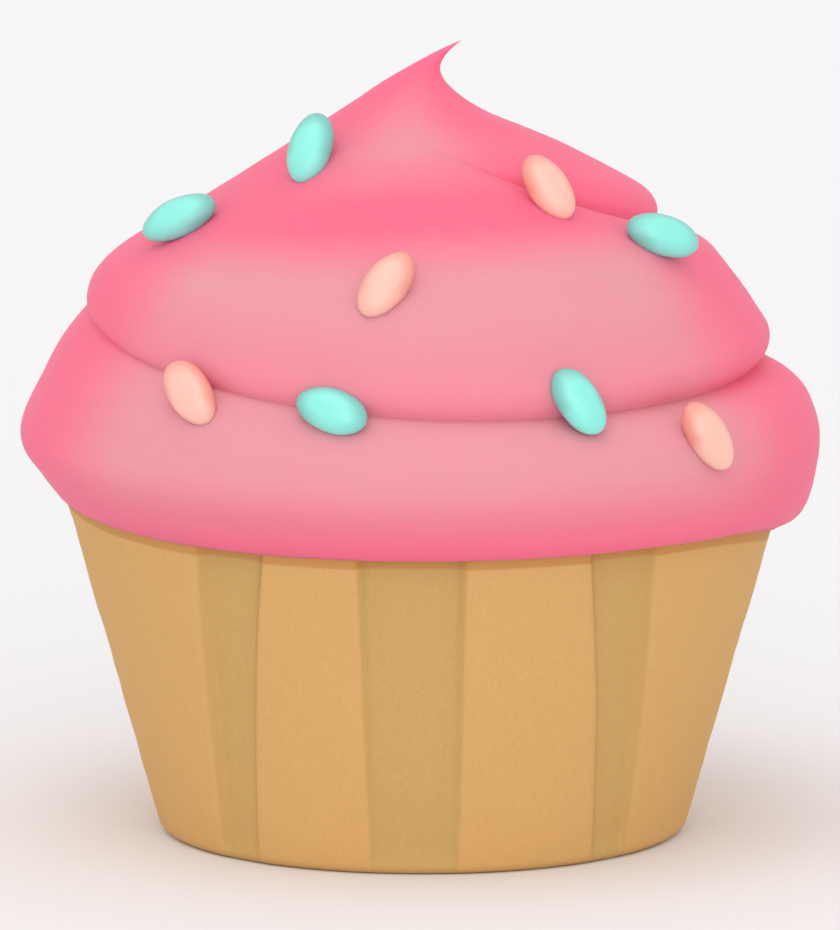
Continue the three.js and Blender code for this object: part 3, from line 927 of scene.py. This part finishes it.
def baking_paper():
    """Tan greaseproof paper with short fibres.

    It is darker by painted shade on the folded-in panels and their slopes, lighter along the fold
    lines by wear and a painted highlight, and darker right under the frosting by its painted
    shadow.
    """
    material, tree, shader = start_material("baking_paper", Specular_IOR_Level=0.15)
    point = object_point(tree)
    stretched = add_node(tree, "ShaderNodeMapping", Vector=point, Scale=(1.0, 1.0, FIBRE_STRETCH))
    fibres = noise(tree, stretched.outputs[0], scale=4200.0, detail=3.0, distortion=1.2)
    cloud = noise(tree, point, scale=130.0, detail=4.0)

    # Painted shade on the folded-in panels and their slopes.
    painted_fold_shade = surface_value(tree, "painted_fold_shade")
    colour = blend_colours(tree, painted_fold_shade, linear(CASE_TAN), linear(FOLD_SHADE_TAN))
    darker = add_node(tree, "ShaderNodeHueSaturation", Color=colour, Value=0.96).outputs[0]
    lighter = add_node(tree, "ShaderNodeHueSaturation", Color=colour, Value=1.04).outputs[0]
    ends = {"From_Min": 0.35, "From_Max": 0.65}
    fibre_share = add_node(tree, "ShaderNodeMapRange", Value=fibres, **ends).outputs[0]
    colour = blend_colours(tree, fibre_share, darker, lighter)
    cloud_share = spread(tree, cloud, amount=0.5, lowest=-0.13)
    colour = blend_colours(tree, cloud_share, colour, darker)
    # Lighter fold lines: wear and a painted highlight.
    worn_and_highlight = calculate(tree, "MULTIPLY", surface_value(tree, "ridge"), WORN_AND_HIGHLIGHT_SHARE)
    colour = blend_colours(tree, worn_and_highlight, colour, lighter)
    # The frosting's painted shadow, just below its lip.
    below = surface_value(tree, "below_frosting")
    painted_shadow = soft_range(tree, below, *PAINTED_SHADOW_REACH, at_low=1.0, at_high=0.0)
    colour = blend_colours(tree, painted_shadow, colour, linear(PAINTED_SHADOW_TAN))
    roughness = spread(tree, fibres, amount=0.2, lowest=0.55)
    normal = add_bump(tree, cloud, depth=0.00015, strength=0.35)
    normal = add_bump(tree, fibres, depth=0.00004, strength=0.45, below=normal)
    finish_surface(tree, shader, colour, roughness, normal)
    return material


def sponge():
    """Golden vanilla crumb: open pores over a soft, uneven bake."""
    material, tree, shader = start_material("vanilla_sponge", Specular_IOR_Level=0.2)
    point = object_point(tree)
    pores = add_node(tree, "ShaderNodeTexVoronoi", Vector=point, Scale=700.0)
    bake = noise(tree, point, scale=110.0, detail=5.0)
    pale = linear(SPONGE)
    browned = (*(BROWNING * channel for channel in pale[:3]), 1.0)
    colour = blend_colours(tree, bake, pale, browned)
    roughness = spread(tree, bake, amount=0.2, lowest=0.8)
    normal = add_bump(tree, pores.outputs["Distance"], depth=0.0005, strength=0.7)
    finish_surface(tree, shader, colour, roughness, normal)
    return material


# ---- The studio ----

VIEW_ELEVATION = 10.2  # degrees above level
VIEW_DISTANCE = 2.5
VIEW_WIDTH = 0.0819  # how wide a view the camera takes in at the cupcake
VIEW_AIM = (-0.00027, 0.0, 0.03576)  # the point that it looks at
SENSOR = 36.0
CLIP = (0.1, 200)  # the nearest and the farthest that the camera sees
FLOOR_SIZE = 60.0
FLOOR_DROP = 0.00002  # keeps the floor clear of the case's base
FLOOR_GREY = (239, 239, 242)
SKY = (255, 253, 250)
SKY_STRENGTH = 0.87
KEY_LIGHT = {"strength": 0.745, "azimuth": 2, "elevation": 21, "spread": 50}
TOP_LIGHT = {"strength": 0.43, "azimuth": -30, "elevation": 72, "spread": 40}


def direction(azimuth, elevation):
    """The way towards a light or the camera.

    Azimuth 0 is the front, and a positive one is to the right.
    """
    turned, raised = np.radians(azimuth), np.radians(elevation)
    level = np.cos(raised)
    return Vector((level * np.sin(turned), -level * np.cos(turned), np.sin(raised)))


def add_sun(name, strength, azimuth, elevation, spread):
    """A soft light as even as daylight, from one way, spread over an angle."""
    light = bpy.data.lights.new(name, "SUN")
    light.energy = strength
    light.angle = np.radians(spread)
    lamp = bpy.data.objects.new(name, light)
    lamp.rotation_euler = direction(azimuth, elevation).to_track_quat("Z", "Y").to_euler()
    bpy.context.scene.collection.objects.link(lamp)


def make_studio():
    """A wide pale floor, an even pale sky, two soft lights, and the camera."""
    scene = bpy.context.scene
    half = FLOOR_SIZE / 2
    floor_mesh = bpy.data.meshes.new("studio_floor")
    corners = [(-half, -half, 0), (half, -half, 0), (half, half, 0), (-half, half, 0)]
    floor_mesh.from_pydata(corners, [], [(0, 1, 2, 3)])
    floor = bpy.data.objects.new("studio_floor", floor_mesh)
    floor.location.z = -FLOOR_DROP
    material, _, _ = start_material(
        "studio_floor", Base_Color=linear(FLOOR_GREY), Roughness=0.9, Specular_IOR_Level=0.1
    )
    floor_mesh.materials.append(material)
    scene.collection.objects.link(floor)

    world = bpy.data.worlds.new("studio_sky")
    world.use_nodes = True
    sky = world.node_tree.nodes["Background"]
    sky.inputs["Color"].default_value = linear(SKY)
    sky.inputs["Strength"].default_value = SKY_STRENGTH
    scene.world = world
    add_sun("key_light", **KEY_LIGHT)
    add_sun("top_light", **TOP_LIGHT)

    camera_data = bpy.data.cameras.new("camera")
    camera_data.sensor_fit = "HORIZONTAL"
    camera_data.sensor_width = SENSOR
    camera_data.lens = SENSOR * VIEW_DISTANCE / VIEW_WIDTH
    camera_data.clip_start, camera_data.clip_end = CLIP
    camera = bpy.data.objects.new("camera", camera_data)
    back = direction(0, VIEW_ELEVATION)
    camera.location = Vector(VIEW_AIM) + VIEW_DISTANCE * back
    camera.rotation_euler = back.to_track_quat("Z", "Y").to_euler()
    scene.collection.objects.link(camera)
    scene.camera = camera
    scene.view_settings.view_transform = "Standard"


# ---- The cupcake ----

make_studio()

swirl = make_frosting(buttercream())
mint_candy = candy("mint_candy", MINT, MINT_RIM_SHADE)
mint_ovals = make_ovals("mint_ovals", MINT_OVALS, mint_candy, seed=21)
peach_candy = candy("peach_candy", PEACH, PEACH_RIM_SHADE)
peach_ovals = make_ovals("peach_ovals", PEACH_OVALS, peach_candy, seed=22)
case = make_case(baking_paper())
cake_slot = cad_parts["cake"].material_slots[0]
cake_slot.link = "OBJECT"
cake_slot.material = sponge()

for piece, slot in (
    (swirl, "pink_frosting"),
    (mint_ovals, "mint_candy"),
    (peach_ovals, "peach_candy"),
    (case, "case_paper"),
):
    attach(piece, BODY)
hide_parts("frosting")
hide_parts("frosting")
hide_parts("frosting")
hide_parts("paper_case")
